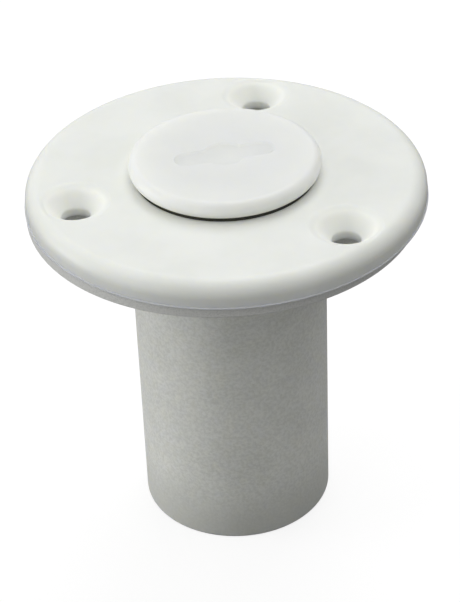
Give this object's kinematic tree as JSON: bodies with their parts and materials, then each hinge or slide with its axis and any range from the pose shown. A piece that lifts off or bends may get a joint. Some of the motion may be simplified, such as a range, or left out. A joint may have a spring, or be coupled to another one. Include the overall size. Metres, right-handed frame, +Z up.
{
  "type": "deck fill cap",
  "caption": "Round white flanged deck filler with a straight hose tail, countersunk screw holes and a screw cap sealed by an O-ring.",
  "frame": {"origin": "centre of the hose tail's open lower end, on the cap's turning axis", "axes": "+Z up along the tail towards the flange and the cap; +X to the right and +Y away from the viewer when the part is seen from the front, with one screw hole at the back and two towards the front"},
  "size_m": [0.076, 0.076, 0.0786],
  "materials": {
    "body_moulding": "white moulded plastic, fine satin grain",
    "cap_moulding": "white moulded plastic, slightly smoother than the body",
    "gasket_foam": "pale closed-cell sealing sheet, matt",
    "seal_rubber": "black nitrile rubber, dull",
    "stainless_screw": "stainless steel, turned",
    "stainless_strip": "stainless steel strip, tumbled",
    "stainless_wire": "drawn stainless spring wire"
  },
  "bodies": {
    "filler": {"filler_body": "body_moulding", "deck_gasket": "gasket_foam", "chain_anchor_ring": "stainless_wire"},
    "swivel": {"chain_swivel_eye": "stainless_strip"},
    "cap": {"cap": "cap_moulding", "cap_o_ring": "seal_rubber", "chain_swivel_screw": "stainless_screw"}
  },
  "joints": [
    {"name": "cap_lift", "type": "slide", "parent": "filler", "child": "swivel", "axis": [0, 0, 1], "range_m": [0, 0.01051]},
    {"name": "cap_turn", "type": "hinge", "parent": "swivel", "child": "cap", "pos_m": [0, 0, 0.0748], "axis": [0, 0, 1], "range_deg": [0, 1080]}
  ],
  "couplings": [
    {"joint": "cap_lift", "follows": "cap_turn", "m_per_rad": 0.00055704}
  ]
}
